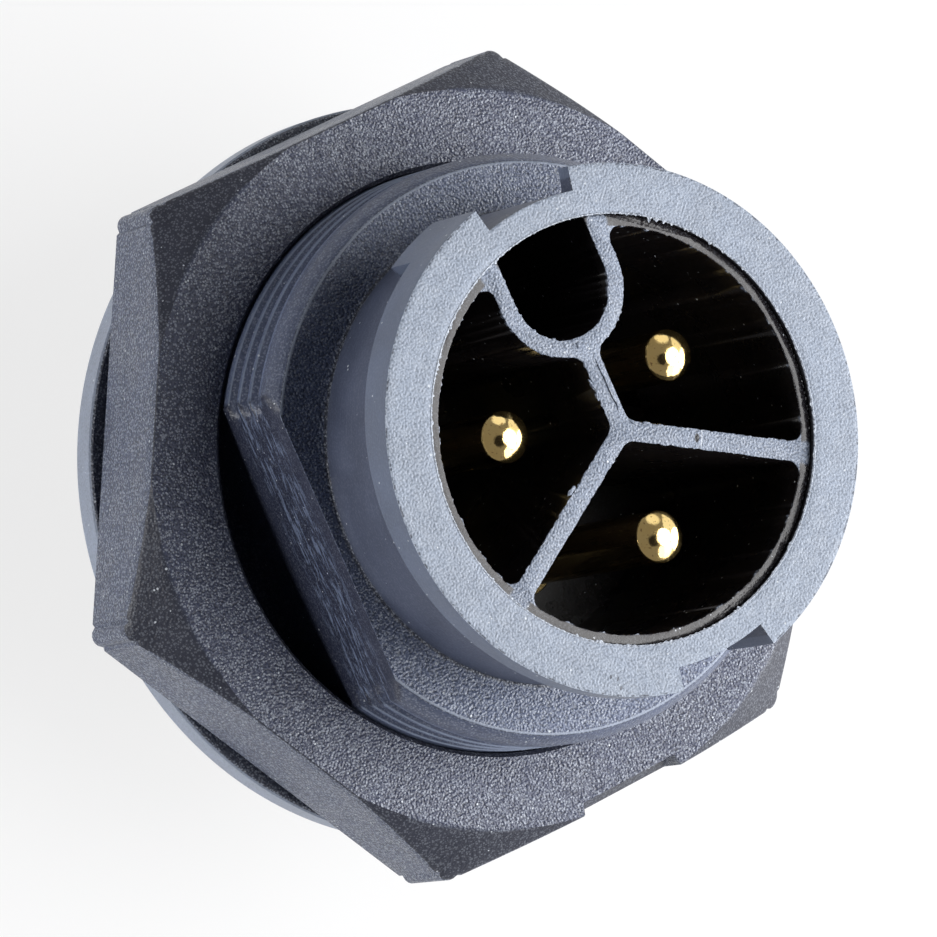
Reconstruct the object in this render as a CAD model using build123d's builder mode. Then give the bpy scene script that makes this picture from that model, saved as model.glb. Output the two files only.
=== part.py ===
from build123d import *
import math
import os

os.makedirs("parts", exist_ok=True)

# Three-pole panel connector with a bayonet mating barrel, fixed by a hexagon nut from the mating side.
# All sizes are millimetres. The axis is +Z towards the mating face, and z = 0 is the flange's
# panel face. The keyway and one bayonet slot point to +Y, and the stem's flats face +X and -X.

# Heights along the axis
rim_z = 18.0
shoulder_z = 10.45
stem_chamfer_length = 0.7
bayonet_ring_height = 3.9
flange_thickness = 1.5
rear_boss_length = 7.5

# Shell, outside
bayonet_d = 22.0
neck_d = 20.0
thread_d = 25.0
thread_pitch = 1.06
thread_depth = 0.45
thread_crest = 0.22
first_crest_drop = 1.45
shown_turns = 3
flat_width = 21.0
flange_overhang = 3.5
flange_edge = 0.15
rear_boss_d = 20.8
rear_boss_chamfer = 0.5

# Bayonet slots, ramps and stops
slot_angle = 24.8
lip_middle_thickness = 1.5
ramp_tilt = 3.5
stop_angle = 14.5

# Shell, inside
mating_bore_d = 17.8
rear_bore_d = 19.0
rear_bore_depth = 3.2
key_slot_width = 2.0
key_slot_depth = 0.6
ring_groove_width = 1.0
ring_groove_depth = 0.5

# Insulator with its keyway channel and Y-shaped dividers
insulator_clearance = 0.05
insulator_recess = 0.3
skirt_wall = 0.42
divider_thickness = 0.85
keyway_width = 4.5
keyway_wall = 0.72
keyway_bottom_share = 0.236
chamber_fillet = 0.5
junction_fillet = 0.65
chamber_floor_z = 4.6
keyway_floor_z = 5.6
collar_length = 4.2
key_clearance = 0.08
seal_groove_depth = 1.0
seal_groove_width = 1.3
seal_groove_back = 1.1

# Contacts: places in the insulator, and how far each tip lies below the rim
contact_places = [(4.25, 1.7), (-4.25, 1.7), (0.0, -4.75)]
tip_recess = [1.5, 1.5, 0.6]
contact_d = 2.2
contact_body_d = 3.0
contact_clearance = 0.04
contact_collar_d = 4.4
contact_collar_length = 1.6
contact_shank_d = 3.4
cup_reach = 2.5
cup_bore_d = 2.6
cup_bore_depth = 4.6
cup_scoop_length = 1.8
cup_edge = 0.15

# Seals. The panel gasket lies between a land next to the stem and one at the flange's edge
seal_gap = 0.03
gasket_inner_land = 0.6
gasket_outer_land = 1.1
gasket_thickness = 0.9
gasket_proud = 0.3
gasket_side_gap = 0.1

# Rear insulator and the ring that holds the inside in
rear_insulator_thickness = 2.6
contact_boss_d = 5.2
contact_boss_height = 1.2
ring_thickness = 0.9
ring_width = 1.35
ring_gap_angle = 34.0
ring_slack = 0.05

# Hexagon nut
nut_wall = 3.1
nut_height = 5.4
nut_corner_r = 0.5
nut_face_overhang = 0.2
nut_corner_drop = 1.9
nut_thread_clearance = 0.06
nut_mouth_chamfer = 0.4
nut_rear_chamfer = 0.25
gate_width = 5.2
gate_depth = 0.55
gate_drop = 1.1

# Radii and heights worked out from the sizes above
bayonet_r = bayonet_d / 2
neck_r = neck_d / 2
thread_r = thread_d / 2
flange_r = thread_r + flange_overhang
boss_r = rear_boss_d / 2
mating_bore_r = mating_bore_d / 2
rear_bore_r = rear_bore_d / 2
contact_r = contact_d / 2
contact_body_r = contact_body_d / 2
shank_r = contact_shank_d / 2
contact_collar_r = contact_collar_d / 2
contact_seal_wall = contact_collar_r + contact_clearance - contact_body_r - 2 * seal_gap
cup_bore_r = cup_bore_d / 2
gasket_inner_r = thread_r + gasket_inner_land
gasket_outer_r = flange_r - gasket_outer_land
ring_outer_r = rear_bore_r + ring_groove_depth - ring_slack
ring_bottom_z = rim_z - bayonet_ring_height
flange_rear_z = -flange_thickness
boss_rear_z = flange_rear_z - rear_boss_length
collar_rear_z = rear_bore_depth - collar_length
seal_groove_z = collar_rear_z + seal_groove_back
rear_insulator_rear_z = collar_rear_z - rear_insulator_thickness
ring_groove_rear_z = rear_insulator_rear_z - ring_groove_width
insulator_front_z = rim_z - insulator_recess
insulator_r = mating_bore_r - insulator_clearance
insulator_collar_r = rear_bore_r - insulator_clearance
skirt_inner_r = insulator_r - skirt_wall
keyway_bottom_y = keyway_bottom_share * mating_bore_d
keyway_centre_y = keyway_bottom_y + keyway_width / 2
contact_rear_z = boss_rear_z - cup_reach
gasket_groove_z = gasket_proud - gasket_thickness
nut_rear_z = gasket_proud
nut_front_z = nut_rear_z + nut_height
nut_bore_r = thread_r + nut_thread_clearance
nut_flat_r = thread_r + nut_wall
nut_face_r = nut_flat_r + nut_face_overhang
groove_from = slot_angle / 2 + stop_angle - 90
groove_to = 90 - slot_angle / 2


def radial_plane(angle):
    """Plane through the axis, its x pointing outwards at an angle and its y along +Z."""
    outwards = Vector(1, 0, 0).rotate(Axis.Z, angle)
    return Plane(origin=(0, 0, 0), x_dir=outwards, z_dir=outwards.rotate(Axis.Z, -90))


def thread_points(top_z, turns):
    """Corners of the stem's evenly pitched V grooves, from a top height down."""
    flank = (thread_pitch - thread_crest) / 2
    points = []
    for turn in range(turns):
        z = top_z - turn * thread_pitch
        points += [
            (thread_r, z),
            (thread_r - thread_depth, z - flank),
            (thread_r, z - 2 * flank),
        ]
    return points


# Ramped groove behind the bayonet lip, and the slot that lets a lug in. The groove is a ring sector
# under a plane tilted along its run, so a lug that turns clockwise is drawn in as far as the stop block.
ramp_plane = Plane(origin=(0, 0, rim_z - lip_middle_thickness))
ramp_plane = ramp_plane.rotated((0, 0, (groove_from + groove_to) / 2)).rotated((ramp_tilt, 0, 0))

with BuildPart() as bayonet_cut:
    with BuildSketch(radial_plane(groove_from)):
        with Locations((neck_r, ring_bottom_z - 1)):
            Rectangle(bayonet_r, bayonet_ring_height + 1, align=(Align.MIN, Align.MIN))
    revolve(axis=Axis.Z, revolution_arc=groove_to - groove_from)
    split(bisect_by=ramp_plane, keep=Keep.BOTTOM)
    with BuildSketch(radial_plane(groove_to)):
        with Locations((neck_r, ring_bottom_z - 1)):
            Rectangle(bayonet_r, bayonet_ring_height + 2, align=(Align.MIN, Align.MIN))
    revolve(axis=Axis.Z, revolution_arc=slot_angle)

# Shell: mating barrel, threaded stem, flange and rear boss, moulded in one piece
with BuildPart() as shell:
    with BuildSketch(Plane.XZ):
        with BuildLine():
            Polyline(
                (mating_bore_r, rim_z),
                (bayonet_r, rim_z),
                (bayonet_r, ring_bottom_z),
                (neck_r, ring_bottom_z),
                (neck_r, shoulder_z),
                (thread_r - thread_depth, shoulder_z),
                (thread_r, shoulder_z - stem_chamfer_length),
                *thread_points(shoulder_z - first_crest_drop, shown_turns),
                (thread_r, 0),
                (gasket_inner_r - gasket_side_gap, 0),
                (gasket_inner_r - gasket_side_gap, gasket_groove_z),
                (gasket_outer_r + gasket_side_gap, gasket_groove_z),
                (gasket_outer_r + gasket_side_gap, 0),
                (flange_r - flange_edge, 0),
                (flange_r, -flange_edge),
                (flange_r, flange_rear_z + flange_edge),
                (flange_r - flange_edge, flange_rear_z),
                (boss_r, flange_rear_z),
                (boss_r, boss_rear_z + rear_boss_chamfer),
                (boss_r - rear_boss_chamfer, boss_rear_z),
                (rear_bore_r, boss_rear_z),
                (rear_bore_r, ring_groove_rear_z),
                (rear_bore_r + ring_groove_depth, ring_groove_rear_z),
                (rear_bore_r + ring_groove_depth, rear_insulator_rear_z),
                (rear_bore_r, rear_insulator_rear_z),
                (rear_bore_r, rear_bore_depth),
                (mating_bore_r, rear_bore_depth),
                close=True,
            )
        make_face()
    revolve(axis=Axis.Z)
    # Two ramped grooves with their entry slots, a half turn apart
    with PolarLocations(0, 2):
        add(bayonet_cut.part, mode=Mode.SUBTRACT)
    # Flats that key the stem in a double-D panel hole
    with BuildSketch(Plane.XY):
        Rectangle(2 * thread_r, 2 * thread_r)
        Rectangle(flat_width, 2 * thread_r, mode=Mode.SUBTRACT)
    extrude(amount=shoulder_z, mode=Mode.SUBTRACT)
    # Slot in the rear bore for the insulators' keys
    with BuildSketch(Plane.XY.offset(boss_rear_z)):
        with Locations((0, -rear_bore_r)):
            Rectangle(key_slot_width, 2 * key_slot_depth)
    extrude(amount=rear_bore_depth - boss_rear_z, mode=Mode.SUBTRACT)

# Insulator: collar, base and thin skirt round three chambers, parted by dividers
with BuildPart() as insulator:
    with BuildSketch(Plane.XZ):
        with BuildLine():
            Polyline(
                (0, collar_rear_z),
                (insulator_collar_r, collar_rear_z),
                (insulator_collar_r, seal_groove_z),
                (insulator_collar_r - seal_groove_depth, seal_groove_z),
                (insulator_collar_r - seal_groove_depth, seal_groove_z + seal_groove_width),
                (insulator_collar_r, seal_groove_z + seal_groove_width),
                (insulator_collar_r, rear_bore_depth),
                (insulator_r, rear_bore_depth),
                (insulator_r, insulator_front_z),
                (0, insulator_front_z),
                close=True,
            )
        make_face()
    revolve(axis=Axis.Z)
    with BuildSketch(Plane.XY.offset(chamber_floor_z)) as chambers:
        Circle(skirt_inner_r)
        with PolarLocations(0, 3, start_angle=90):
            Rectangle(
                skirt_inner_r + 1,
                divider_thickness,
                align=(Align.MIN, Align.CENTER),
                mode=Mode.SUBTRACT,
            )
        with Locations((0, keyway_centre_y)):
            Circle(keyway_width / 2 + keyway_wall, mode=Mode.SUBTRACT)
            Rectangle(
                keyway_width + 2 * keyway_wall,
                2 * skirt_inner_r,
                align=(Align.CENTER, Align.MIN),
                mode=Mode.SUBTRACT,
            )
        skirt_corners = chambers.vertices().filter_by(
            lambda corner: math.hypot(corner.X, corner.Y) > skirt_inner_r - chamber_fillet
        )
        fillet(skirt_corners, chamber_fillet)
        inner_corners = chambers.vertices().filter_by(
            lambda corner: math.hypot(corner.X, corner.Y) < keyway_bottom_y
        )
        fillet(inner_corners, junction_fillet)
    extrude(amount=insulator_front_z - chamber_floor_z, mode=Mode.SUBTRACT)
    with BuildSketch(Plane.XY.offset(keyway_floor_z)):
        with Locations((0, keyway_centre_y)):
            Circle(keyway_width / 2)
            Rectangle(keyway_width, mating_bore_r, align=(Align.CENTER, Align.MIN))
    extrude(amount=insulator_front_z - keyway_floor_z, mode=Mode.SUBTRACT)
    # Stepped holes: the contact's collar and its seal sit in the wide part
    seat_depth = contact_collar_length + contact_seal_wall + seal_gap
    with BuildSketch(Plane.XY.offset(collar_rear_z)):
        with Locations(*contact_places):
            Circle(contact_body_r + contact_clearance)
    extrude(amount=chamber_floor_z - collar_rear_z, mode=Mode.SUBTRACT)
    with BuildSketch(Plane.XY.offset(collar_rear_z)):
        with Locations(*contact_places):
            Circle(contact_collar_r + contact_clearance)
    extrude(amount=seat_depth, mode=Mode.SUBTRACT)
    with BuildSketch(Plane.XY.offset(collar_rear_z)):
        with Locations((0, -insulator_collar_r)):
            Rectangle(key_slot_width - 2 * key_clearance, 2 * (key_slot_depth - key_clearance))
        Circle(insulator_collar_r - key_slot_depth, mode=Mode.SUBTRACT)
    extrude(amount=seal_groove_back)

# Rear insulator: holds the contacts' collars in their seats
with BuildPart() as rear_insulator:
    with BuildSketch(Plane.XY.offset(rear_insulator_rear_z)):
        Circle(insulator_collar_r)
        with Locations((0, -insulator_collar_r)):
            Rectangle(key_slot_width - 2 * key_clearance, 2 * (key_slot_depth - key_clearance))
    extrude(amount=rear_insulator_thickness)
    with BuildSketch(Plane.XY.offset(rear_insulator_rear_z)):
        with Locations(*contact_places):
            Circle(contact_boss_d / 2)
    extrude(amount=-contact_boss_height)
    with BuildSketch(Plane.XY.offset(collar_rear_z)):
        with Locations(*contact_places):
            Circle(shank_r + contact_clearance)
    extrude(amount=-rear_insulator_thickness - contact_boss_height, mode=Mode.SUBTRACT)

# Contacts: round-ended pin, collar and shank with a scooped solder cup
contacts = []
contact_seals = []
for number, ((x, y), recess) in enumerate(zip(contact_places, tip_recess), start=1):
    contact_plane = Plane(origin=(x, y, 0), x_dir=(1, 0, 0), z_dir=(0, -1, 0))
    contact_axis = Axis((x, y, 0), (0, 0, 1))
    tip_centre_z = rim_z - recess - contact_r
    with BuildPart() as contact:
        with BuildSketch(contact_plane):
            with BuildLine():
                Polyline(
                    (0, tip_centre_z + contact_r),
                    (0, contact_rear_z + cup_bore_depth),
                    (cup_bore_r, contact_rear_z + cup_bore_depth),
                    (cup_bore_r, contact_rear_z),
                    (shank_r - cup_edge, contact_rear_z),
                    (shank_r, contact_rear_z + cup_edge),
                    (shank_r, collar_rear_z),
                    (contact_collar_r, collar_rear_z),
                    (contact_collar_r, collar_rear_z + contact_collar_length),
                    (contact_body_r, collar_rear_z + contact_collar_length),
                    (contact_body_r, chamber_floor_z),
                    (contact_r, chamber_floor_z),
                    (contact_r, tip_centre_z),
                )
                CenterArc((0, tip_centre_z), contact_r, 0, 90)
            make_face()
        revolve(axis=contact_axis)
        # The cup's mouth is cut away on the side that faces outwards
        with Locations(Location((x, y, contact_rear_z), (0, 0, math.degrees(math.atan2(y, x))))):
            Box(
                contact_shank_d,
                contact_shank_d,
                cup_scoop_length,
                align=(Align.MIN, Align.CENTER, Align.MIN),
                mode=Mode.SUBTRACT,
            )
    contact.part.label = f"contact_{number}"
    contacts.append(contact)

    with BuildPart() as contact_seal:
        with BuildSketch(contact_plane):
            with Locations((contact_body_r + seal_gap, collar_rear_z + contact_collar_length)):
                Rectangle(contact_seal_wall, contact_seal_wall, align=(Align.MIN, Align.MIN))
        revolve(axis=contact_axis)
    contact_seal.part.label = f"contact_seal_{number}"
    contact_seals.append(contact_seal)

# Square-cut seal ring between the insulator's collar and the rear bore
with BuildPart() as insert_seal:
    with BuildSketch(Plane.XZ):
        with Locations((insulator_collar_r - seal_groove_depth + seal_gap, seal_groove_z + seal_gap)):
            Rectangle(
                rear_bore_r - insulator_collar_r + seal_groove_depth - 2 * seal_gap,
                seal_groove_width - 2 * seal_gap,
                align=(Align.MIN, Align.MIN),
            )
    revolve(axis=Axis.Z)

# Snap ring in the rear bore, open at the top
with BuildPart() as retaining_ring:
    with BuildSketch(radial_plane(90 + ring_gap_angle / 2)):
        with Locations((ring_outer_r - ring_width, rear_insulator_rear_z)):
            Rectangle(ring_width, ring_thickness, align=(Align.MIN, Align.MAX))
    revolve(axis=Axis.Z, revolution_arc=360 - ring_gap_angle)

# Flat gasket in the flange's groove, standing proud of the panel face
with BuildPart() as panel_gasket:
    with BuildSketch(Plane.XY.offset(gasket_groove_z)):
        Circle(gasket_outer_r)
        Circle(gasket_inner_r, mode=Mode.SUBTRACT)
    extrude(amount=gasket_thickness)

# Hexagon nut: corners bevelled at the front, a moulding gate notch in one side
with BuildPart() as hex_nut:
    nut_corner_reach = nut_flat_r / math.cos(math.radians(30))
    bevel_slope = nut_corner_drop / (nut_corner_reach - nut_face_r)
    bevel_reach = nut_corner_reach + 1
    with BuildSketch(Plane.XY.offset(nut_rear_z)):
        RegularPolygon(nut_flat_r, 6, major_radius=False)
    extrude(amount=nut_height)
    fillet(hex_nut.edges().filter_by(Axis.Z), nut_corner_r)
    with BuildSketch(Plane.XZ):
        with BuildLine():
            Polyline(
                (0, nut_rear_z),
                (nut_corner_reach - nut_rear_chamfer, nut_rear_z),
                (bevel_reach, nut_rear_z + nut_rear_chamfer + 1),
                (bevel_reach, nut_front_z - bevel_slope * (bevel_reach - nut_face_r)),
                (nut_face_r, nut_front_z),
                (0, nut_front_z),
                close=True,
            )
        make_face()
    revolve(axis=Axis.Z, mode=Mode.INTERSECT)
    with BuildSketch(Plane.XZ):
        with BuildLine():
            Polyline(
                (0, nut_front_z),
                (nut_bore_r + nut_mouth_chamfer, nut_front_z),
                (nut_bore_r, nut_front_z - nut_mouth_chamfer),
                (nut_bore_r, nut_rear_z + nut_mouth_chamfer),
                (nut_bore_r + nut_mouth_chamfer, nut_rear_z),
                (0, nut_rear_z),
                close=True,
            )
        make_face()
    revolve(axis=Axis.Z, mode=Mode.SUBTRACT)
    with Locations((0, gate_depth - nut_flat_r, nut_front_z - gate_drop)):
        Box(
            gate_width,
            2 * gate_depth,
            2 * gate_drop,
            align=(Align.CENTER, Align.MAX, Align.MIN),
            mode=Mode.SUBTRACT,
        )

shell.part.label = "shell"
insulator.part.label = "insulator"
rear_insulator.part.label = "rear_insulator"
insert_seal.part.label = "insert_seal"
retaining_ring.part.label = "retaining_ring"
panel_gasket.part.label = "panel_gasket"
hex_nut.part.label = "hex_nut"

export_step(shell.part, "parts/shell.step")
export_step(insulator.part, "parts/insulator.step")
export_step(rear_insulator.part, "parts/rear_insulator.step")
for piece in contacts + contact_seals:
    export_step(piece.part, f"parts/{piece.part.label}.step")
export_step(insert_seal.part, "parts/insert_seal.step")
export_step(retaining_ring.part, "parts/retaining_ring.step")
export_step(panel_gasket.part, "parts/panel_gasket.step")
export_step(hex_nut.part, "parts/hex_nut.step")
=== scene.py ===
import math

import bmesh
import bpy
from mathutils import Matrix, Quaternion, Vector, noise


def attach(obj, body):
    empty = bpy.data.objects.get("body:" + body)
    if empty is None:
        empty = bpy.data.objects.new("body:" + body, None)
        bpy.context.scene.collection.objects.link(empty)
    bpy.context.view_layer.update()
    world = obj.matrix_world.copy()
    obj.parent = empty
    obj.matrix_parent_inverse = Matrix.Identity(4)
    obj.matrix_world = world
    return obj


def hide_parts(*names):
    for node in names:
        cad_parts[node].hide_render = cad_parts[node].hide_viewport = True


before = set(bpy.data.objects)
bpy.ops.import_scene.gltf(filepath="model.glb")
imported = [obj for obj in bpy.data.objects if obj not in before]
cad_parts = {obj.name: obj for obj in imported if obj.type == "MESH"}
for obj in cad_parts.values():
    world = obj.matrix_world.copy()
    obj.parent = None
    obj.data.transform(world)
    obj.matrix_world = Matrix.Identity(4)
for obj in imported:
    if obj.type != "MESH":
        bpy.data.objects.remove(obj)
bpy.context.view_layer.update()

MM = 0.001
FULL_TURN = 2 * math.pi

# Heights and radii of the connector, in millimetres. The axis is +Z and the flange's panel face is z = 0.
RIM_Z = 18.0
SHOULDER_Z = 10.45
RING_BOTTOM_Z = 14.1
BORE_R = 8.9
NECK_R = 10.0
LIP_R = 11.0
STEM_R = 12.5
THREAD_DEPTH = 0.45
THREAD_PITCH = 1.06
FIRST_CREST_Z = 9.0
THREAD_TURNS = 3
FLAT_X = 10.5
FLANGE_R = 16.0
FLANGE_REAR_Z = -1.5
BOSS_R = 10.4
BOSS_REAR_Z = -9.0
REAR_BORE_R = 9.5
FLOOR_Z = -11.5

SLOT_HALF = math.radians(12.4)
STOP_END = SLOT_HALF + math.radians(14.5)
LIP_MIDDLE = 1.5
RAMP_TILT = math.radians(3.5)

NUT_REAR_Z = 0.3
NUT_FRONT_Z = 5.7
NUT_FLAT_R = 15.6
NUT_FACE_R = 15.8
NUT_CORNER_R = 0.5
NUT_BEVEL_SLOPE = 1.9 / (NUT_FLAT_R / math.cos(math.radians(30)) - NUT_FACE_R)
NUT_BORE_R = 12.56
NUT_MOUTH_R = 12.74
GATE_HALF = 2.6
GATE_DEPTH = 0.55
GATE_DROP = 1.1

CONTACT_R = 1.1
TIP_DOME_R = 1.6
TIP_EDGE_R = 0.17
TIP_EDGE_DROP = 0.514
CONTACTS = {"contact_1": (4.25, 1.7, 16.5), "contact_2": (-4.25, 1.7, 16.5), "contact_3": (0.0, -4.75, 17.4)}


def tone(red, green, blue):
    """A colour written as 0 to 255 per channel."""
    def straight(value):
        share = value / 255
        return share / 12.92 if share <= 0.04045 else ((share + 0.055) / 1.055) ** 2.4
    return (straight(red), straight(green), straight(blue), 1.0)


def add(tree, kind, inputs=(), **settings):
    """A shader node. Its inputs are numbers, colours or sockets to link, by name or number."""
    made = tree.nodes.new("ShaderNode" + kind)
    for key, value in settings.items():
        setattr(made, key, value)
    for key, value in dict(inputs).items():
        if isinstance(value, bpy.types.NodeSocket):
            tree.links.new(value, made.inputs[key])
        else:
            made.inputs[key].default_value = value
    return made


def calc(tree, operation, *values, clamp=False):
    made = add(tree, "Math", dict(enumerate(values)), operation=operation, use_clamp=clamp)
    return made.outputs[0]


def product(tree, *values):
    """All the values multiplied together."""
    total = values[0]
    for value in values[1:]:
        total = calc(tree, "MULTIPLY", total, value)
    return total


def ramp(tree, value, low, high, start=0.0, end=1.0):
    """A smooth step of a value from start to end between two limits."""
    made = add(tree, "MapRange", {"Value": value, "From Min": low, "From Max": high, "To Min": start, "To Max": end},
               interpolation_type="SMOOTHSTEP")
    return made.outputs["Result"]


def blend_colour(tree, share, base, over):
    made = add(tree, "Mix", data_type="RGBA")
    for socket, value in ((made.inputs[0], share), (made.inputs[6], base), (made.inputs[7], over)):
        if isinstance(value, bpy.types.NodeSocket):
            tree.links.new(value, socket)
        else:
            socket.default_value = value
    return made.outputs[2]


def stretch(tree, place, sizes, turn=(0, 0, 0)):
    """A pattern's coordinates, stretched so that one unit is the size given along each axis."""
    made = add(tree, "Mapping", {"Vector": place, "Rotation": turn, "Scale": [1 / size for size in sizes]})
    return made.outputs["Vector"]


def shader_group(name, inputs, outputs, fill):
    """A node group with named sockets. fill(tree, ins) gives the sockets to put out, by name."""
    tree = bpy.data.node_groups.new(name, "ShaderNodeTree")
    for label, kind, value in inputs:
        socket = tree.interface.new_socket(label, in_out="INPUT", socket_type="NodeSocket" + kind)
        if value is not None:
            socket.default_value = value
    for label, kind in outputs:
        tree.interface.new_socket(label, in_out="OUTPUT", socket_type="NodeSocket" + kind)
    ins = tree.nodes.new("NodeGroupInput")
    out = tree.nodes.new("NodeGroupOutput")
    for label, socket in fill(tree, ins.outputs).items():
        tree.links.new(socket, out.inputs[label])
    return tree


def use(tree, group, **inputs):
    made = tree.nodes.new("ShaderNodeGroup")
    made.node_tree = group
    for key, value in inputs.items():
        socket = made.inputs[key]
        if isinstance(value, bpy.types.NodeSocket):
            tree.links.new(value, socket)
        else:
            socket.default_value = value
    return made.outputs


def fill_axis_place(tree, ins):
    """Distance from the axis, height along it, and the turn round it."""
    parts = add(tree, "SeparateXYZ", {"Vector": ins["Place"]}).outputs
    across = calc(tree, "MULTIPLY", parts["X"], parts["X"])
    along = calc(tree, "MULTIPLY", parts["Y"], parts["Y"])
    return {
        "Radius": calc(tree, "SQRT", calc(tree, "ADD", across, along)),
        "Height": calc(tree, "ADD", parts["Z"], 0.0),
        "Turn": calc(tree, "ARCTAN2", parts["Y"], parts["X"]),
    }


def fill_grain_and_painted_glints(tree, ins):
    """Spark-eroded mould grain: small bumps, pits and a few pale dust flecks, and painted glints: dense bright specks
    of many sizes, painted in place of the light that the bumps catch.
    """
    height = add(tree, "TexNoise", {"Vector": ins["Place"], "Scale": ins["Grains"], "Detail": 0.0}).outputs[0]
    cells = add(tree, "TexVoronoi", {"Vector": ins["Place"], "Scale": ins["Grains"], "Randomness": 1.0})
    chance = add(tree, "SeparateColor", {0: cells.outputs["Color"]}).outputs
    size = calc(tree, "MULTIPLY_ADD", chance[0], 0.36, 0.2)
    # Painted glints: pale dots round the cells' points, which stand in for light caught by the grain's bumps.
    painted_glints = ramp(tree, calc(tree, "SUBTRACT", cells.outputs["Distance"], size), -0.09, 0.07, 1.0, 0.0)
    flecks = calc(tree, "MULTIPLY", painted_glints, calc(tree, "GREATER_THAN", chance[1], 0.994))
    return {"Height": height, "PaintedGlints": painted_glints, "Pits": ramp(tree, height, 0.46, 0.34), "Flecks": flecks}


def fill_turning_lines(tree, ins):
    """Fine lines that run round the axis, and their slow drift."""
    rows = calc(tree, "MULTIPLY", calc(tree, "ADD", ins["Height"], ins["Radius"]), 16.0)
    round_place = add(tree, "CombineXYZ", {0: rows, 1: calc(tree, "MULTIPLY", ins["Turn"], 2.5), 2: ins["Radius"]})
    lines = add(tree, "TexNoise", {"Vector": round_place.outputs[0], "Scale": 1.0, "Detail": 2.0, "Roughness": 0.6})
    return {"Height": lines.outputs[0], "Bright": ramp(tree, lines.outputs[0], 0.56, 0.72)}


def fill_hairlines(tree, ins):
    """Short hairline rubbing marks that cross each other in two directions."""
    total = None
    for number, degrees in enumerate((24, 118)):
        turned_place = add(tree, "Mapping", {"Vector": ins["Place"], "Rotation": (0, 0, math.radians(degrees)),
                                             "Location": (7.3 * number, 0, 0)})
        lines = add(tree, "TexNoise", {"Vector": stretch(tree, turned_place.outputs[0], (0.8, 0.07, 0.4)),
                                       "Scale": 1.0, "Detail": 1.0})
        mark = ramp(tree, lines.outputs[0], 0.55, 0.72)
        total = mark if total is None else calc(tree, "MAXIMUM", total, mark)
    return {"Mask": total}


AXIS_PLACE = shader_group("axis_place", [("Place", "Vector", None)],
                          [("Radius", "Float"), ("Height", "Float"), ("Turn", "Float")], fill_axis_place)
GRAIN_AND_GLINTS = shader_group("grain_and_painted_glints", [("Place", "Vector", None), ("Grains", "Float", 9.0)],
                           [("Height", "Float"), ("PaintedGlints", "Float"), ("Pits", "Float"), ("Flecks", "Float")],
                           fill_grain_and_painted_glints)
TURNING_LINES = shader_group("turning_lines",
                             [("Height", "Float", 0.0), ("Radius", "Float", 0.0), ("Turn", "Float", 0.0)],
                             [("Height", "Float"), ("Bright", "Float")], fill_turning_lines)
HAIRLINES = shader_group("hairlines", [("Place", "Vector", None)], [("Mask", "Float")], fill_hairlines)


def new_material(name):
    """A material with a Principled shader, and its Object coordinates in millimetres."""
    material = bpy.data.materials.new(name)
    material.use_nodes = True
    tree = material.node_tree
    tree.nodes.clear()
    surface = add(tree, "OutputMaterial")
    shader = add(tree, "BsdfPrincipled")
    tree.links.new(shader.outputs[0], surface.inputs["Surface"])
    object_place = add(tree, "TexCoord").outputs["Object"]
    place = add(tree, "VectorMath", {0: object_place, 1: (1 / MM,) * 3}, operation="MULTIPLY").outputs[0]
    return material, tree, shader, place


def bump(tree, height, depth, under=None):
    """The surface's normal with bumps of this depth, on the bumps of the normal under them."""
    made = add(tree, "Bump", {"Height": height, "Strength": 1.0, "Distance": calc(tree, "MULTIPLY", depth, MM)})
    if under:
        tree.links.new(under, made.inputs["Normal"])
    return made.outputs["Normal"]


def moulded_plastic(name, base, zones, grains, depth, roughness, gloss, worn=None):
    """Dark moulded plastic. Each zone is a mask with its own colour, roughness, grain and turning lines."""
    material, tree, shader, place = new_material(name)
    where = dict(use(tree, AXIS_PLACE, Place=place).items())
    facing = add(tree, "TexCoord").outputs["Normal"]
    where["Up"] = add(tree, "SeparateXYZ", {"Vector": facing}).outputs["Z"]
    where["Across"] = add(tree, "SeparateXYZ", {"Vector": place}).outputs["X"]
    where["Place"] = place
    grain = use(tree, GRAIN_AND_GLINTS, Place=place, Grains=grains)
    colour, rough, grain_share, line_share = base, roughness, 1.0, 0.0
    for mask_of, over, over_rough, over_grain, over_lines in zones:
        mask = mask_of(tree, where)
        colour = blend_colour(tree, mask, colour, over)
        rough = mixed(tree, mask, rough, over_rough)
        grain_share = mixed(tree, mask, grain_share, over_grain)
        line_share = mixed(tree, mask, line_share, over_lines)
    mottle = add(tree, "TexNoise", {"Vector": place, "Scale": 0.55, "Detail": 2.0, "Roughness": 0.6}).outputs[0]
    colour = blend_colour(tree, ramp(tree, mottle, 0.35, 0.7, 0.14, 0.0), colour, tone(10, 11, 15))
    pits = product(tree, grain["Pits"], grain_share, 0.45)
    colour = blend_colour(tree, pits, colour, tone(12, 13, 18))
    painted_glints = product(tree, grain["PaintedGlints"], grain_share, 0.36)
    # Painted glints: pale specks painted into the colour where the grain's bumps would catch the light.
    colour = blend_colour(tree, painted_glints, colour, tone(214, 222, 236))
    normal = bump(tree, grain["Height"], calc(tree, "MULTIPLY", grain_share, depth))
    if any(zone[-1] for zone in zones):
        lines = use(tree, TURNING_LINES, Height=where["Height"], Radius=where["Radius"], Turn=where["Turn"])
        streaks = product(tree, lines["Bright"], line_share, 0.14)
        colour = blend_colour(tree, streaks, colour, tone(190, 200, 222))
        normal = bump(tree, lines["Height"], product(tree, line_share, depth, 0.3), normal)
    if worn:
        colour = worn(tree, where, place, colour)
    tree.links.new(blend_colour(tree, grain["Flecks"], colour, tone(214, 220, 228)), shader.inputs["Base Color"])
    tree.links.new(calc(tree, "ADD", rough, ramp(tree, mottle, 0.3, 0.7, -0.05, 0.05)), shader.inputs["Roughness"])
    tree.links.new(normal, shader.inputs["Normal"])
    shader.inputs["Specular IOR Level"].default_value = gloss
    return material, tree, shader, place


def mixed(tree, share, start, end):
    """A number between start and end."""
    made = add(tree, "Mix", {0: share, 2: start, 3: end}, data_type="FLOAT")
    return made.outputs[0]


def above(label, low, high):
    return lambda tree, where: ramp(tree, where[label], low, high)


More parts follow.
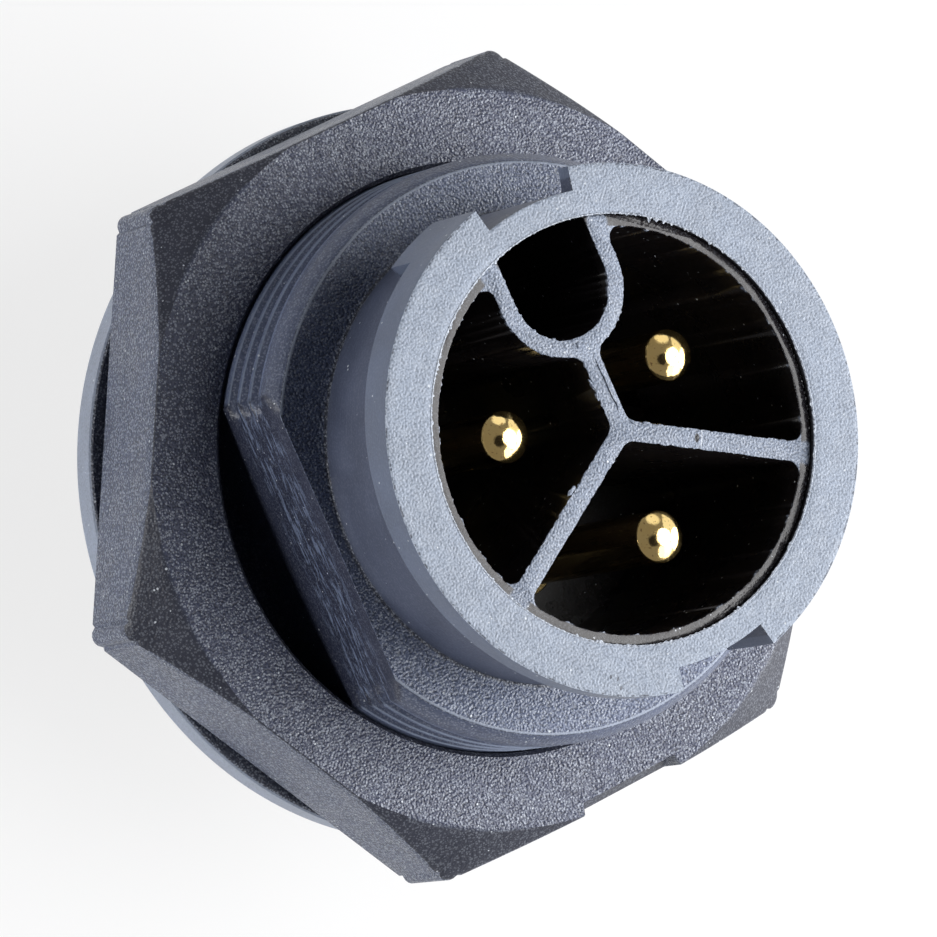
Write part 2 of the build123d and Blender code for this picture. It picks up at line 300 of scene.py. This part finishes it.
def between(label, low, high, soft):
    def mask(tree, where):
        up = ramp(tree, where[label], low - soft, low + soft)
        down = ramp(tree, where[label], high - soft, high + soft, 1.0, 0.0)
        return calc(tree, "MULTIPLY", up, down)
    return mask


def both(first, second):
    return lambda tree, where: calc(tree, "MULTIPLY", first(tree, where), second(tree, where))


def below(label, high, low):
    return lambda tree, where: ramp(tree, where[label], low, high, 1.0, 0.0)


ON_RIM = both(above("Height", RIM_Z - 0.07, RIM_Z - 0.03), above("Up", 0.8, 0.9))
ON_FLAT = below("Across", -FLAT_X + 0.2, -FLAT_X + 0.06)
RIM_PITS = ((-5.2, -8.8), (-4.94, -9.01), (-4.98, -9.4))


def spot(tree, place, x, y, length, width, degrees):
    """A soft oval mark round a point, seen along the axis. It runs through every height."""
    moved = add(tree, "VectorMath", {0: place, 1: (x, y, 0)}, operation="SUBTRACT").outputs[0]
    turned_place = add(tree, "Mapping", {"Vector": moved, "Rotation": (0, 0, math.radians(-degrees))}).outputs[0]
    oval = add(tree, "VectorMath", {0: turned_place, 1: (2 / length, 2 / width, 0)}, operation="MULTIPLY").outputs[0]
    reach = add(tree, "VectorMath", {0: oval}, operation="LENGTH").outputs["Value"]
    return ramp(tree, reach, 0.75, 1.1, 1.0, 0.0)


def nicked_arm(tree, where, place, colour):
    """A dark nick and a pressed line across the divider that runs to the lower right."""
    front = above("Height", 17.5, 17.62)(tree, where)
    for mark, share, shade in (((3.24, -1.8, 0.85, 0.08, 62), 0.6, tone(220, 226, 236)),
                               ((3.04, -1.7, 0.42, 0.24, 62), 0.97, tone(18, 17, 22))):
        shown = product(tree, spot(tree, place, *mark), front, share)
        colour = blend_colour(tree, shown, colour, shade)
    return colour


def rubbed_shell(tree, where, place, colour):
    """Hairlines, pits and a broken dark edge line on the sanded rim, and rubbed streaks along the stem's flat."""
    rim = ON_RIM(tree, where)
    hairs = product(tree, use(tree, HAIRLINES, Place=place)["Mask"], rim, 0.3)
    colour = blend_colour(tree, hairs, colour, tone(112, 122, 142))
    patchy = add(tree, "TexNoise", {"Vector": place, "Scale": 1.6, "Detail": 1.0}).outputs[0]
    pale = product(tree, ramp(tree, patchy, 0.45, 0.7), rim, 0.1)
    colour = blend_colour(tree, pale, colour, tone(214, 222, 234))
    for x, y in RIM_PITS:
        pit = product(tree, spot(tree, place, x, y, 0.2, 0.12, 50), rim, 0.8)
        colour = blend_colour(tree, pit, colour, tone(40, 44, 58))
    broken = add(tree, "TexNoise", {"Vector": place, "Scale": 3.4, "Detail": 2.0, "Roughness": 0.7}).outputs[0]
    outer = between("Radius", LIP_R - 0.1, LIP_R - 0.03, 0.02)(tree, where)
    edge = product(tree, outer, ramp(tree, broken, 0.5, 0.58), rim, 0.8)
    colour = blend_colour(tree, edge, colour, tone(52, 56, 70))
    flat = both(ON_FLAT, between("Height", 6.6, 9.5, 0.5))(tree, where)
    curls = add(tree, "TexNoise", {"Vector": stretch(tree, place, (1, 0.8, 0.11)), "Scale": 1.0, "Detail": 3.0,
                                   "Roughness": 0.65}).outputs[0]
    streak = product(tree, ramp(tree, curls, 0.5, 0.62), flat, 0.55)
    return blend_colour(tree, streak, colour, tone(150, 166, 198))


def shell_plastic():
    stem = between("Height", 5.0, 10.4, 0.02)
    # Painted highlight: a pale line on the thread crests' rounded edges, for the light they catch.
    painted_crest_highlight = both(above("Radius", STEM_R - 0.08, STEM_R - 0.04), between("Up", 0.3, 0.9, 0.1))
    # Painted highlight: a pale line round the shoulder's edge, where it meets the stem's chamfer.
    on_shoulder = between("Height", SHOULDER_Z - 0.1, SHOULDER_Z + 0.15, 0.05)
    painted_shoulder_highlight = both(between("Height", SHOULDER_Z - 0.15, SHOULDER_Z + 0.15, 0.03),
                         between("Radius", 11.99, 12.09, 0.02))
    zones = [
        # Painted shade: the bore's wall under the rim is coloured near black for the shade inside the barrel.
        (both(below("Radius", 8.98, 8.92), below("Height", 17.9, 17.8)), tone(30, 28, 32), 0.4, 0.1, 0.0),
        (both(stem, above("Radius", 9.6, 9.7)), tone(84, 93, 119), 0.42, 0.4, 0.7),
        (both(between("Height", 5.0, 9.2, 0.02), above("Radius", 12.44, 12.48)), tone(104, 116, 147), 0.42, 0.4, 0.7),
        # Painted highlight on the thread crests' edges.
        (both(between("Height", 5.0, 9.4, 0.02), painted_crest_highlight), tone(150, 162, 186), 0.4, 0.1, 0.0),
        (both(between("Height", 10.6, 17.9, 0.1), above("Radius", 9.9, 9.95)), tone(80, 88, 111), 0.45, 0.12, 0.5),
        (both(above("Height", 14.2, 14.3), above("Radius", 10.5, 10.6)), tone(106, 117, 141), 0.45, 0.12, 0.3),
        (both(on_shoulder, between("Radius", 10.1, 12.0, 0.05)), tone(102, 112, 138), 0.38, 1.0, 0.0),
        # Painted highlight on the shoulder's edge.
        (painted_shoulder_highlight, tone(150, 160, 180), 0.4, 0.2, 0.0),
        (ON_RIM, tone(158, 169, 187), 0.5, 0.6, 0.0),
        # Painted light: the flange's side is coloured far paler than the rest of the shell for the light that falls
        # on it from low down.
        (above("Radius", FLANGE_R - 0.1, FLANGE_R - 0.05), tone(166, 176, 196), 0.45, 0.3, 0.3),
        # Painted shade: the stem's flat is coloured darker for the shade on the side that faces away from the lamps.
        (both(ON_FLAT, between("Height", 0.0, 10.4, 0.02)), tone(54, 59, 80), 0.4, 0.3, 0.0),
    ]
    return moulded_plastic("shell_plastic", tone(72, 77, 92), zones, 9.5, 0.06, 0.42, 0.5, worn=rubbed_shell)[0]


def nut_plastic():
    front, bevel = above("Up", 0.86, 0.95), between("Up", 0.4, 0.9, 0.07)
    zones = [
        (front, tone(72, 78, 101), 0.4, 1.0, 0.0),
        # Painted shade: the nut's bevel is coloured darker than its face and sides, for the little light that reaches
        # it.
        (bevel, tone(49, 52, 66), 0.45, 0.35, 0.0),
    ]
    return moulded_plastic("nut_plastic", tone(86, 95, 120), zones, 9.5, 0.06, 0.42, 0.5)[0]


# Where the keyway's walls and the dividers meet the skirt: x, y, length, width and turn in degrees
ARM_ENDS = ((2.75, 8.1, 1.5, 1.0, 75), (-2.75, 8.1, 1.5, 1.0, 105),
            (7.5, -4.33, 1.2, 1.0, -30), (-7.5, -4.33, 1.2, 1.0, 210))


def skirt_front(tree, where):
    """The smooth skirt's front, all but the ends of the dividers and of the keyway's walls."""
    mask = above("Radius", 8.38, 8.44)(tree, where)
    for end in ARM_ENDS:
        mask = product(tree, mask, calc(tree, "SUBTRACT", 1.0, spot(tree, where["Place"], *end)))
    return mask


def insulator_plastic():
    front = both(above("Height", 17.5, 17.62), above("Up", 0.3, 0.6))
    zones = [
        # Painted shade and reflection: all behind the front face is coloured brown-black for the shade in the deep
        # chambers, tinted brown for the gold's reflected light.
        (above("Height", 4.5, 4.6), tone(19, 14, 14), 0.3, 0.05, 0.0),
        (front, tone(138, 149, 169), 0.42, 0.9, 0.0),
        (both(front, skirt_front), tone(34, 30, 34), 0.25, 0.15, 0.0),
    ]
    return moulded_plastic("insulator_plastic", tone(40, 42, 48), zones, 10.0, 0.05, 0.45, 0.5, worn=nicked_arm)[0]


def gold_plate():
    material, tree, shader, place = new_material("gold_plate")
    shader.inputs["Metallic"].default_value = 1.0
    slow = add(tree, "TexNoise", {"Vector": place, "Scale": 0.9, "Detail": 3.0}).outputs[0]
    specks = add(tree, "TexNoise", {"Vector": place, "Scale": 9.0, "Detail": 2.0}).outputs[0]
    colour = blend_colour(tree, slow, tone(254, 230, 166), tone(246, 208, 126))
    colour = blend_colour(tree, ramp(tree, specks, 0.63, 0.7, 0.0, 0.7), colour, tone(146, 100, 46))
    tree.links.new(colour, shader.inputs["Base Color"])
    tree.links.new(ramp(tree, slow, 0.3, 0.7, 0.07, 0.14), shader.inputs["Roughness"])
    tree.links.new(bump(tree, specks, 0.003), shader.inputs["Normal"])
    return material


def seal_rubber():
    material, tree, shader, place = new_material("seal_rubber")
    slow = add(tree, "TexNoise", {"Vector": place, "Scale": 2.0, "Detail": 4.0})
    colour = blend_colour(tree, slow.outputs[0], tone(24, 24, 26), tone(46, 46, 50))
    tree.links.new(colour, shader.inputs["Base Color"])
    tree.links.new(ramp(tree, slow.outputs[0], 0.3, 0.7, 0.5, 0.75), shader.inputs["Roughness"])
    return material


def spring_steel():
    material, tree, shader, place = new_material("spring_steel")
    shader.inputs["Metallic"].default_value = 1.0
    lines = add(tree, "TexNoise", {"Vector": stretch(tree, place, (1, 1, 0.05)), "Scale": 3.0, "Detail": 4.0})
    colour = blend_colour(tree, lines.outputs[0], tone(120, 122, 126), tone(178, 180, 184))
    tree.links.new(colour, shader.inputs["Base Color"])
    tree.links.new(ramp(tree, lines.outputs[0], 0.3, 0.7, 0.25, 0.45), shader.inputs["Roughness"])
    return material


def turned(name, rings, steps, place):
    """A closed skin rolled round the axis from a grid. place(ring, angle) gives each point, in millimetres."""
    bm = bmesh.new()
    bmesh.ops.create_grid(bm, x_segments=rings, y_segments=steps, size=1.0)
    for corner in bm.verts:
        ring = round((corner.co.x + 1) / 2 * rings) % rings
        angle = round((corner.co.y + 1) / 2 * steps) % steps * FULL_TURN / steps
        corner.co = (math.cos(angle), math.sin(angle), ring)
    bmesh.ops.remove_doubles(bm, verts=bm.verts, dist=1e-4)
    for corner in bm.verts:
        corner.co = Vector(place(round(corner.co.z), math.atan2(corner.co.y, corner.co.x))) * MM
    bmesh.ops.recalc_face_normals(bm, faces=bm.faces)
    return finished(name, bm)


def finished(name, bm, sharp=35):
    """The piece's object, shaded smooth up to an angle between faces."""
    mesh = bpy.data.meshes.new(name)
    for face in bm.faces:
        face.smooth = True
    bm.to_mesh(mesh)
    bm.free()
    mesh.set_sharp_from_angle(angle=math.radians(sharp))
    piece = bpy.data.objects.new(name, mesh)
    bpy.context.scene.collection.objects.link(piece)
    return piece


def snapped(angle, walls, step):
    """The angle, moved next to a wall that stands within one step of it."""
    for wall in walls:
        gap = (angle - wall + math.pi) % FULL_TURN - math.pi
        if abs(gap) < step * 0.999:
            return wall + math.copysign(0.0006, gap)
    return angle


def at(radius, angle, height):
    return (radius * math.cos(angle), radius * math.sin(angle), height)


SHELL_STEPS = 720
SHELL_WALLS = [centre + side for centre in (math.pi / 2, -math.pi / 2) for side in (-SLOT_HALF, SLOT_HALF, STOP_END)]
RAMP_MIDDLE = (STOP_END - SLOT_HALF) / 2


def lip_bottom(angle, radius):
    """Height of the lip's underside: the stop block reaches the ring's bottom, the rest is a ramp."""
    turn = (angle + math.pi / 2) % math.pi
    if turn < STOP_END:
        return RING_BOTTOM_Z
    return RIM_Z - LIP_MIDDLE + radius * math.sin(turn - math.pi / 2 - RAMP_MIDDLE) * math.tan(RAMP_TILT)


def in_slot(angle):
    turn = (angle + math.pi / 2) % math.pi
    return min(turn, math.pi - turn) < SLOT_HALF


def shell_section():
    """The shell's outline as (kind, radius, height) rows, from the bore up over the rim and down the outside."""
    rows = [("plain", BORE_R, 3.2), ("plain", BORE_R, 10.0), ("plain", BORE_R, RIM_Z - 0.06),
            ("rim", 8.92, RIM_Z - 0.015)]
    rows += [("rim", radius, RIM_Z) for radius in (8.96, 9.3, 9.65, 10.0, 10.35, 10.7, 10.94)]
    rows += [("rim", 10.985, RIM_Z - 0.015)]
    rows += [("lip", LIP_R, share) for share in (0.0, 0.2, 0.4, 0.6, 0.8, 1.0)]
    rows += [("under", radius, 0) for radius in (10.95, 10.6, 10.3, 10.05)]
    rows += [("neck", NECK_R, share) for share in (0.0, 0.1, 0.25, 0.4, 0.55, 0.7, 0.85, 1.0)]
    rows += [("shoulder", share, SHOULDER_Z) for share in (0.03, 0.1, 0.25, 0.4, 0.55, 0.7, 0.85, 0.97, 1.0)]
    rows += [("stem", 12.1, SHOULDER_Z - 0.03), ("stem", 12.3, 10.1), ("stem", 12.46, 9.82), ("stem", STEM_R, 9.72)]
    half = (THREAD_PITCH - 0.22) / 2
    for turn in range(THREAD_TURNS):
        crest = FIRST_CREST_Z - turn * THREAD_PITCH
        rows += [("stem", STEM_R, crest + 0.03), ("stem", STEM_R - 0.04, crest),
                 ("stem", STEM_R - THREAD_DEPTH, crest - half + 0.06),
                 ("stem", STEM_R - THREAD_DEPTH, crest - half - 0.06),
                 ("stem", STEM_R - 0.04, crest - 2 * half), ("stem", STEM_R, crest - 2 * half - 0.03)]
    rows += [("stem", STEM_R, 3.0), ("stem", STEM_R, 0.0)]
    for radius, height in ((13.0, 0), (13.0, -0.6), (15.0, -0.6), (15.0, 0), (15.85, 0), (FLANGE_R, -0.15),
                           (FLANGE_R, -1.35), (15.85, FLANGE_REAR_Z), (BOSS_R, FLANGE_REAR_Z), (BOSS_R, -5.0),
                           (BOSS_R, -8.5), (9.9, BOSS_REAR_Z), (REAR_BORE_R, BOSS_REAR_Z), (REAR_BORE_R, -4.6),
                           (10.0, -4.6), (10.0, -3.6), (REAR_BORE_R, -3.6), (REAR_BORE_R, 3.2)):
        rows.append(("plain", radius, height))
    return rows


def shell():
    rows = shell_section()
    step = FULL_TURN / SHELL_STEPS

    def place(ring, angle):
        kind, radius, height = rows[ring]
        angle = snapped(angle, SHELL_WALLS, step)
        reach = NECK_R if in_slot(angle) else LIP_R
        if kind == "rim":
            radius = BORE_R + (radius - BORE_R) * (reach - BORE_R) / (LIP_R - BORE_R)
        elif kind == "lip":
            low = lip_bottom(angle, LIP_R) + 0.05
            height, radius = RIM_Z - 0.06 + (low - RIM_Z + 0.06) * height, reach
        elif kind == "under":
            height = lip_bottom(angle, radius)
            if reach == NECK_R:
                height -= 0.1 * (LIP_R - radius)
                radius = NECK_R
        elif kind == "neck":
            top = lip_bottom(angle, NECK_R) - (0.1 if reach == NECK_R else 0.0) - 0.05
            height = top + (SHOULDER_Z + 0.06 - top) * height
        elif kind == "shoulder":
            edge = min(STEM_R - THREAD_DEPTH, FLAT_X / max(abs(math.cos(angle)), 0.01))
            radius = NECK_R + radius * (edge - NECK_R)
            height = SHOULDER_Z + (0.02 if ring and rows[ring][1] < 0.05 else 0.0)
        elif kind == "stem":
            radius = min(radius, FLAT_X / max(abs(math.cos(angle)), 0.01)) if height > 0.01 else radius
        return at(radius, angle, height)

    return turned("shell_body", len(rows), SHELL_STEPS, place)


NUT_STEPS = 720


def hex_reach(angle):
    """How far the nut's side stands from the axis, with rounded corners at every sixth of a turn."""
    from_corner = abs((angle + math.radians(30)) % math.radians(60) - math.radians(30))
    flat = NUT_FLAT_R / math.cos(math.radians(30) - from_corner)
    centre = (NUT_FLAT_R - NUT_CORNER_R) / math.cos(math.radians(30))
    sideways = centre * math.sin(from_corner)
    if sideways >= NUT_CORNER_R:
        return flat
    return min(flat, centre * math.cos(from_corner) + math.sqrt(NUT_CORNER_R ** 2 - sideways ** 2))


def hex_nut():
    rows = [("bore", NUT_BORE_R + 0.4, NUT_REAR_Z), ("bore", NUT_BORE_R, 0.7), ("bore", NUT_BORE_R, 3.0),
            ("bore", NUT_BORE_R, 5.5), ("bore", NUT_MOUTH_R - 0.03, NUT_FRONT_Z - 0.04),
            ("bore", NUT_MOUTH_R, NUT_FRONT_Z)]
    rows += [("face", share, 0) for share in (0.1, 0.25, 0.4, 0.55, 0.7, 0.85, 0.97)]
    rows += [("bevel", share, 0) for share in (0.02, 0.2, 0.4, 0.6, 0.8, 0.97)]
    rows += [("side", 1.0, share) for share in (0.0, 0.15, 0.3, 0.45, 0.6, 0.75, 0.9, 1.0)]
    rows += [("rear", share, 0) for share in (1.0, 0.6, 0.3)]
    walls = [-math.pi / 2 + side * math.asin(GATE_HALF / NUT_FLAT_R) for side in (-1, 1)]
    step = FULL_TURN / NUT_STEPS

    def place(ring, angle):
        kind, radius, height = rows[ring]
        angle = snapped(angle, walls, step)
        reach = hex_reach(angle)
        face_edge = min(NUT_FACE_R, reach - 0.06)
        top = NUT_FRONT_Z - 0.05 - max(0.0, NUT_BEVEL_SLOPE * (reach - NUT_FACE_R))
        inner = NUT_MOUTH_R
        if kind == "face":
            radius, height = inner + (face_edge - inner) * radius, NUT_FRONT_Z
        elif kind == "bevel":
            share = radius
            radius = face_edge + (reach - 0.04 - face_edge) * share
            height = NUT_FRONT_Z - max(0.0, NUT_BEVEL_SLOPE * (radius - NUT_FACE_R)) - 0.02 * share
        elif kind == "side":
            low = NUT_REAR_Z + 0.25
            radius, height = reach, top - 0.03 + (low - top + 0.03) * height
        elif kind == "rear":
            radius, height = inner + (reach - 0.25 - inner) * radius, NUT_REAR_Z
        x, y, z = at(radius, angle, height)
        if abs(x) < GATE_HALF and y < GATE_DEPTH - NUT_FLAT_R and z > NUT_FRONT_Z - GATE_DROP:
            y = GATE_DEPTH - NUT_FLAT_R
        return x, y, z

    return turned("hex_nut_body", len(rows), NUT_STEPS, place)


def contact(name):
    x, y, tip = CONTACTS[name]
    outward = math.atan2(y, x)
    rows = [(TIP_DOME_R * math.sin(math.radians(turn)), tip - TIP_DOME_R * (1 - math.cos(math.radians(turn))))
            for turn in (0.6, 3, 6, 10, 14, 18, 22, 26, 30, 34, 37.5, 40.5)]
    rows += [(CONTACT_R - TIP_EDGE_R * (1 - math.sin(math.radians(turn))),
              tip - TIP_EDGE_DROP + TIP_EDGE_R * math.cos(math.radians(turn))) for turn in (48, 58, 68, 79, 90)]
    rows += [(CONTACT_R, 12.0), (CONTACT_R, 4.65), (1.15, 4.6), (1.5, 4.6), (1.5, 0.6), (2.2, 0.6), (2.2, -1.0),
             (1.7, -1.0), (1.7, -7.0), (1.7, -9.6), (1.7, -11.35), (1.55, -11.5), (1.35, -11.5), (1.3, -11.45),
             (1.3, -9.6), (1.3, -6.9), (0.02, -6.9)]
    steps = 96
    step = FULL_TURN / steps
    walls = [outward + math.pi / 2, outward - math.pi / 2]

    def place(ring, angle):
        radius, height = rows[ring]
        angle = snapped(angle, walls, step)
        if height < -9.65 and math.cos(angle - outward) > 0:
            height = -9.7 + (height + 11.5) * 0.2
        px, py, pz = at(radius, angle, height)
        return x + px, y + py, pz

    return turned(name + "_body", len(rows), steps, place)


def ragged(place, size):
    """A repeatable uneven offset for a point, from fine tearing with a few larger burrs."""
    fine = noise.noise(Vector(place) * 7.0)
    burr = max(0.0, noise.noise(Vector(place) * 1.7 + Vector((9, 4, 2))) - 0.18) * 2.2
    return size * (0.6 * fine + burr * (0.5 + fine))


def insulator():
    """The CAD insulator, welded, with the edges of its front face torn a little and rounded."""
    bm = bmesh.new()
    bm.from_mesh(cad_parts["insulator"].data)
    bmesh.ops.remove_doubles(bm, verts=bm.verts, dist=2e-6)
    bmesh.ops.dissolve_limit(bm, angle_limit=math.radians(0.4), verts=bm.verts, edges=bm.edges)

    def front_edges():
        return [edge for edge in bm.edges
                if all(corner.co.z > 17.65 * MM for corner in edge.verts) and len(edge.link_faces) == 2
                and edge.calc_face_angle() > math.radians(60)]

    by_cuts = {}
    for edge in front_edges():
        by_cuts.setdefault(int(edge.calc_length() / (0.11 * MM)), []).append(edge)
    for cuts, edges in by_cuts.items():
        if cuts:
            bmesh.ops.subdivide_edges(bm, edges=edges, cuts=cuts)
    torn = front_edges()
    for corner in {corner for edge in torn for corner in edge.verts}:
        outward = sum((face.normal for face in corner.link_faces), Vector())
        outward.z = 0.0
        if outward.length > 0.01:
            corner.co += outward.normalized() * ragged(corner.co / MM, 0.05) * MM
    bmesh.ops.bevel(bm, geom=torn, offset=0.035 * MM, segments=2, profile=0.5, affect="EDGES", material=-1,
                    clamp_overlap=True)
    return finished("insulator_body", bm)


FLASH_STEPS = 1800
TORN_MOST = math.radians(52)
KEYWAY_HALF = 2.35


def rim_flash():
    """Thin torn flash that stands on the rim's inner edge and leans over the gap to the insulator."""
    def place(ring, angle):
        around = Vector((math.cos(angle), math.sin(angle), 0)) * BORE_R
        torn = 1 + 1.8 * max(0.0, math.cos(angle - TORN_MOST)) ** 10
        lean = 0.03 + torn * max(0.0, ragged(around, 0.1))
        lift = 0.015 + 0.5 * torn * abs(ragged(around + Vector((3, 1, 5)), 0.05))
        rows = ((BORE_R + 0.07, RIM_Z - 0.01), (BORE_R + 0.02, RIM_Z + lift), (BORE_R - lean, RIM_Z - 0.02 + lift),
                (BORE_R - 0.6 * lean, RIM_Z - 0.07), (BORE_R + 0.01, RIM_Z - 0.12))
        radius, height = rows[ring]
        return at(radius, angle, height)

    return turned("rim_flash", 5, FLASH_STEPS, place)


def skirt_flash():
    """Torn flash on the insulator's outer edge, in the gap to the barrel. It sinks into the barrel at the keyway."""
    def place(ring, angle):
        around = Vector((math.cos(angle), math.sin(angle), 0.7)) * 8.8
        lift = max(0.0, ragged(around, 0.14))
        rows = ((8.8, 17.69), (8.82, 17.7 + lift), (8.86, 17.69 + 0.6 * lift), (8.85, 17.6))
        radius, height = rows[ring]
        if abs(around.x) < KEYWAY_HALF and around.y > 0:
            radius, height = radius + 0.2, height - 0.2
        return at(radius, angle, height)

    return turned("skirt_flash", 4, FLASH_STEPS, place)


# Places of the larger burrs on the dividers' front edges, and each one's length, width and turn in degrees
BURRS = ((-0.5, 2.24, 0.5, 0.15, 95), (-0.48, 1.7, 0.42, 0.14, 86), (-0.44, 1.32, 0.22, 0.12, 75),
         (-2.9, -1.25, 0.3, 0.14, 20), (-3.3, -1.3, 0.55, 0.2, 25), (1.13, -0.19, 0.42, 0.13, -30),
         (0.62, 0.02, 0.5, 0.12, -50), (0.16, 1.9, 2.6, 0.06, 91), (-0.33, 3.94, 0.32, 0.14, 65),
         (-0.42, 3.1, 0.3, 0.12, 80))


def divider_burrs():
    """Small lumps of torn plastic on the edges of the dividers."""
    bm = bmesh.new()
    for x, y, length, width, degrees in BURRS:
        matrix = (Matrix.Translation((x * MM, y * MM, 17.69 * MM)) @ Matrix.Rotation(math.radians(degrees), 4, "Z")
                  @ Matrix.Diagonal((length / 2 * MM, width / 2 * MM, 0.07 * MM, 1)))
        made = bmesh.ops.create_icosphere(bm, subdivisions=3, radius=1.0, matrix=matrix)
        for corner in made["verts"]:
            offset = ragged(corner.co / MM * 1.3, 0.06) * MM
            corner.co += Vector((offset, -offset, 0.3 * offset))
    return finished("divider_burrs", bm, sharp=60)


def place_camera():
    lens = bpy.data.cameras.new("photo_view")
    lens.lens = 258.75
    lens.sensor_width = 36.0
    lens.clip_start, lens.clip_end = 0.01, 10.0
    camera = bpy.data.objects.new("photo_view", lens)
    camera.location = Vector((-129.865, 30.239, 259.158)) * MM
    aim = Vector((-1.2518, 0.0209, 6.0)) * MM
    track = (aim - camera.location).to_track_quat("-Z", "Y")
    camera.rotation_mode = "QUATERNION"
    camera.rotation_quaternion = track @ Quaternion((0, 0, 1), math.radians(78.173))
    bpy.context.scene.collection.objects.link(camera)
    bpy.context.scene.camera = camera


def soft_light(name, azimuth, elevation, distance, size, power):
    """A round lamp that faces the barrel. Azimuth is measured from +X towards +Y."""
    lamp = bpy.data.lights.new(name, "AREA")
    lamp.shape = "DISK"
    lamp.size = size * MM
    lamp.energy = power
    holder = bpy.data.objects.new(name, lamp)
    way = Vector((math.cos(math.radians(azimuth)) * math.cos(math.radians(elevation)),
                  math.sin(math.radians(azimuth)) * math.cos(math.radians(elevation)),
                  math.sin(math.radians(elevation))))
    holder.location = way * distance * MM
    holder.rotation_mode = "QUATERNION"
    holder.rotation_quaternion = (-way).to_track_quat("-Z", "Y")
    holder.visible_camera = False
    bpy.context.scene.collection.objects.link(holder)


def seen_directly(tree):
    """One for rays from the camera, mirrors and glass, and zero for the light that falls on matt surfaces."""
    path = add(tree, "LightPath").outputs
    mirrored = calc(tree, "MAXIMUM", path["Is Glossy Ray"], path["Is Transmission Ray"])
    return calc(tree, "MAXIMUM", path["Is Camera Ray"], mirrored)


def set_world(level):
    """A dim room. Mirrors see a wide white window low on the right, a small one behind, and a dark shape overhead."""
    world = bpy.data.worlds.new("studio")
    bpy.context.scene.world = world
    world.use_nodes = True
    tree = world.node_tree
    tree.nodes.clear()
    way = add(tree, "TexCoord").outputs["Generated"]
    room_colour = tone(126, 124, 124)
    for aim, edge, shade in (((-0.143, -0.105, 0.984), 0.955, tone(34, 32, 34)),
                             ((0.389, 0.732, 0.559), 0.953, tone(255, 255, 255)),
                             ((0.913, -0.369, 0.174), 0.588, tone(255, 255, 255))):
        near = add(tree, "VectorMath", {0: way, 1: aim}, operation="DOT_PRODUCT").outputs["Value"]
        room_colour = blend_colour(tree, ramp(tree, near, edge - 0.015, edge + 0.015), room_colour, shade)
    seen = add(tree, "Background", {"Color": room_colour})
    dim = add(tree, "Background", {"Color": tone(214, 222, 236), "Strength": level})
    room = add(tree, "MixShader", {0: seen_directly(tree), 1: dim.outputs[0], 2: seen.outputs[0]})
    add(tree, "OutputWorld", {"Surface": room.outputs[0]})
    world.cycles.sampling_method = "NONE"


def lay_floor():
    bm = bmesh.new()
    bmesh.ops.create_grid(bm, x_segments=8, y_segments=8, size=1.5)
    for corner in bm.verts:
        corner.co.z = FLOOR_Z * MM
    floor = finished("floor", bm)
    material, tree, shader, place = new_material("pale_table")
    slow = add(tree, "TexNoise", {"Vector": place, "Scale": 0.02, "Detail": 2.0})
    colour = blend_colour(tree, slow.outputs[0], tone(238, 239, 241), tone(246, 246, 247))
    tree.links.new(colour, shader.inputs["Base Color"])
    shader.inputs["Roughness"].default_value = 0.7
    white = add(tree, "Emission", {"Color": tone(255, 255, 255), "Strength": 1.0})
    share = calc(tree, "MULTIPLY", seen_directly(tree), 0.8)
    shown = add(tree, "MixShader", {0: share, 1: shader.outputs[0], 2: white.outputs[0]})
    surface = next(item for item in tree.nodes if item.type == "OUTPUT_MATERIAL")
    tree.links.new(shown.outputs[0], surface.inputs["Surface"])
    floor.data.materials.append(material)


def dress(piece, node, body, material):
    piece.data.materials.append(material)
    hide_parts(node)
    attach(piece, body)


def trim(piece, material):
    """A small piece of the barrel's own plastic that stands for no solid of its own."""
    piece.data.materials.append(material)
    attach(piece, "receptacle")


bpy.context.scene.view_settings.view_transform = "Standard"
place_camera()
set_world(0.02)
lay_floor()
soft_light("key", -22, 64, 260, 210, 0.48)
soft_light("low_right", -25, 21, 260, 200, 0.57)
soft_light("near_side", -68, 42, 260, 200, 0.25)
soft_light("low_left", 165, 4, 260, 100, 0.3)

shell_finish = shell_plastic()
flash_finish = moulded_plastic("torn_flash", tone(176, 185, 200), [], 9.0, 0.05, 0.35, 0.5)[0]
nut_finish = nut_plastic()
insulator_finish = insulator_plastic()
gold = gold_plate()
rubber = seal_rubber()
steel = spring_steel()

dress(shell(), "shell", "receptacle", shell_finish)
dress(hex_nut(), "hex_nut", "nut", nut_finish)
dress(insulator(), "insulator", "receptacle", insulator_finish)
for node in CONTACTS:
    dress(contact(node), node, "receptacle", gold)
trim(rim_flash(), flash_finish)
trim(skirt_flash(), insulator_finish)
trim(divider_burrs(), insulator_finish)

kept = {"rear_insulator": insulator_finish, "retaining_ring": steel, "panel_gasket": rubber, "insert_seal": rubber,
        "contact_seal_1": rubber, "contact_seal_2": rubber, "contact_seal_3": rubber}
for node, material in kept.items():
    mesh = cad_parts[node].data
    mesh.materials.clear()
    mesh.materials.append(material)

bpy.context.view_layer.update()
